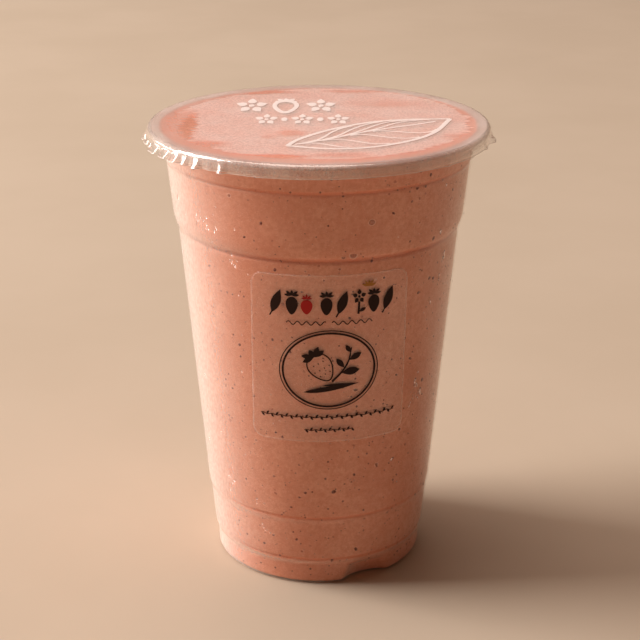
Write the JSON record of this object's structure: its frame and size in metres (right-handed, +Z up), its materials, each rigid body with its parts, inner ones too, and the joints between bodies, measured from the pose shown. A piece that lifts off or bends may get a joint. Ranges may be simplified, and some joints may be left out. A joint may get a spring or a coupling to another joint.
{
  "type": "strawberry smoothie",
  "caption": "Strawberry smoothie in a tapered clear plastic take-away cup with a rolled rim, sealed with clear film and labelled on the front.",
  "frame": {"origin": "middle of the foot's lower face, on the cup's axis", "axes": "+Z up along the cup's axis, -Y towards the front, where the label is"},
  "size_m": [0.0978, 0.0958, 0.1291],
  "materials": {
    "clear_cup": "clear polypropylene, glossy, with fine scuffs and a few droplets",
    "smoothie": "opaque salmon-pink drink, wet and faintly mottled, with fine dark red seed specks",
    "sealing_film": "thin clear film, frosted by fine condensation on its underside, with matt white ink",
    "label": "clear sticker, slightly duller than the cup, with dark brown and red ink"
  },
  "bodies": {
    "root": {"cup": "clear_cup", "smoothie": "smoothie", "film": "sealing_film", "label": "label"}
  },
  "joints": []
}
